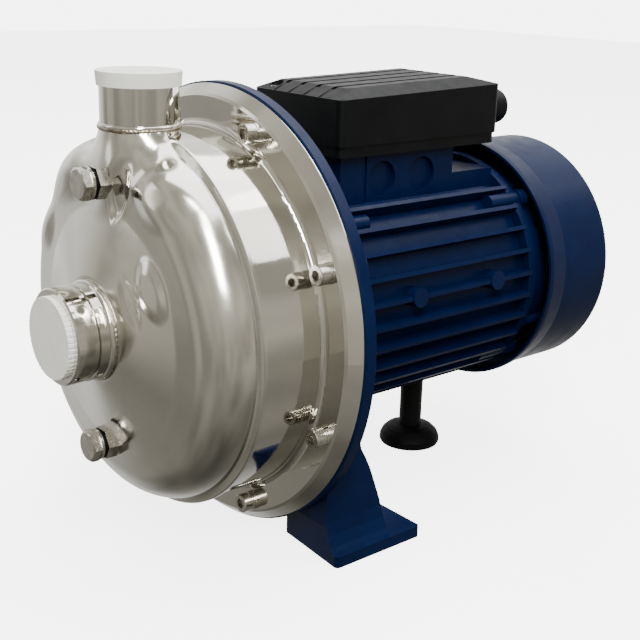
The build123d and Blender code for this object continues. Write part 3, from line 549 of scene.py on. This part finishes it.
def photo_camera():
    data = bpy.data.cameras.new("camera")
    data.lens = CAMERA_LENS
    camera = bpy.data.objects.new("camera", data)
    bpy.context.scene.collection.objects.link(camera)
    right, up, back = camera_axes()
    steps = [axis * step * MM for axis, step in zip((right, up, back), CAMERA_OFFSET)]
    place = at(0, 0, 0) + sum(steps, Vector())
    turned = Matrix((right, up, back)).transposed()
    camera.matrix_world = Matrix.Translation(place) @ turned.to_4x4()
    data.clip_start, data.clip_end = 0.01, 50
    bpy.context.scene.camera = camera


def softbox(name, azimuth, elevation, distance, width, height, power):
    """Rectangular light that faces the pump; azimuth is measured like the camera's."""
    data = bpy.data.lights.new(name, "AREA")
    data.shape = "RECTANGLE"
    data.size, data.size_y = width, height
    data.energy = power
    lamp = bpy.data.objects.new(name, data)
    turn, rise = math.radians(azimuth), math.radians(elevation)
    back = Vector((math.sin(turn) * math.cos(rise), -math.cos(turn) * math.cos(rise), math.sin(rise)))
    lamp.location = at(0, 0, 0) + back * distance
    lamp.rotation_euler = back.to_track_quat("Z", "Y").to_euler()
    bpy.context.scene.collection.objects.link(lamp)


def world_node(world, kind, **inputs):
    node = world.node_tree.nodes.new(kind)
    for socket, value in inputs.items():
        node.inputs[socket.replace("_", " ")].default_value = value
    return node


def room_tint(world, direction):
    """Warm grey on the photographer's side, pale behind."""
    links = world.node_tree.links
    towards = world_node(world, "ShaderNodeVectorMath")
    towards.operation = "DOT_PRODUCT"
    back = camera_axes()[2]
    towards.inputs[1].default_value = Vector((back.x, back.y, 0)).normalized()
    side = world_node(world, "ShaderNodeMapRange", From_Min=-0.8, From_Max=-0.15)
    side.interpolation_type = "SMOOTHSTEP"
    tint = world_node(world, "ShaderNodeMix")
    tint.data_type = "RGBA"
    tint.inputs[6].default_value = ROOM_PALE
    tint.inputs[7].default_value = ROOM_GREY
    links.new(direction, towards.inputs[0])
    links.new(towards.outputs["Value"], side.inputs["Value"])
    links.new(side.outputs["Result"], tint.inputs[0])
    return tint.outputs[2]


def room_shade(world, direction):
    """Dim underneath, and uneven all round."""
    links = world.node_tree.links
    split = world_node(world, "ShaderNodeSeparateXYZ")
    under = world_node(world, "ShaderNodeMapRange", From_Min=-1.0, From_Max=0.1,
                       To_Min=ROOM_UNDER, To_Max=1.0)
    clutter = world_node(world, "ShaderNodeTexNoise", Scale=2.2, Detail=1.5, Roughness=0.5)
    uneven = world_node(world, "ShaderNodeMapRange", From_Min=0.35, From_Max=0.65,
                        To_Min=ROOM_DARKEST, To_Max=ROOM_BRIGHTEST)
    shade = world_node(world, "ShaderNodeMath")
    shade.operation = "MULTIPLY"
    links.new(direction, split.inputs["Vector"])
    links.new(split.outputs["Z"], under.inputs["Value"])
    links.new(direction, clutter.inputs["Vector"])
    links.new(clutter.outputs["Fac"], uneven.inputs["Value"])
    links.new(under.outputs["Result"], shade.inputs[0])
    links.new(uneven.outputs["Result"], shade.inputs[1])
    return shade.outputs["Value"]


def room():
    """Surroundings that the steel reflects, behind a plain pale backdrop."""
    world = bpy.data.worlds.new("room")
    bpy.context.scene.world = world
    world.use_nodes = True
    links = world.node_tree.links
    direction = world_node(world, "ShaderNodeTexCoord").outputs["Generated"]
    dim = world_node(world, "ShaderNodeVectorMath")
    dim.operation = "SCALE"
    seen = world_node(world, "ShaderNodeLightPath")
    backdrop = world_node(world, "ShaderNodeMix")
    backdrop.data_type = "RGBA"
    backdrop.inputs[7].default_value = BACKDROP
    links.new(room_tint(world, direction), dim.inputs[0])
    links.new(room_shade(world, direction), dim.inputs["Scale"])
    links.new(dim.outputs["Vector"], backdrop.inputs[6])
    links.new(seen.outputs["Is Camera Ray"], backdrop.inputs[0])
    links.new(backdrop.outputs[2], world.node_tree.nodes["Background"].inputs["Color"])


def floor():
    bm = bmesh.new()
    bmesh.ops.create_grid(bm, x_segments=8, y_segments=8, size=4.0)
    mesh = bpy.data.meshes.new("floor")
    bm.to_mesh(mesh)
    bm.free()
    made = material("floor", (0.86, 0.86, 0.85), 0.85, Emission_Strength=FLOOR_GLOW)
    shader_of(made).inputs["Emission Color"].default_value = (1, 1, 1, 1)
    vary(made, (0.85, 0.85, 0.84), (0.88, 0.88, 0.87), scale=3, rough=(0.8, 0.9))
    mesh.materials.append(made)
    stage = bpy.data.objects.new("floor", mesh)
    bpy.context.scene.collection.objects.link(stage)
    stage.visible_glossy = stage.visible_diffuse = False


def studio():
    photo_camera()
    room()
    floor()
    for light in LIGHTS:
        softbox(*light)


surfaces = paint_cad_nodes()
satin = satin_steel()
casing_bowl(satin)
discharge_neck(satin)
seam = weld_steel()
weld_bead("discharge_weld", (0, NECK_Y, NECK_TOP), "z", NECK_RADIUS, DISCHARGE_BEAD, seam)
weld_bead("collar_weld", (0, NOSE_Y, 0), "y", COLLAR_RADIUS, COLLAR_BEAD, seam)
for node, width in SOFT_EDGES.items():
    soften_edges(node, width)
studio()
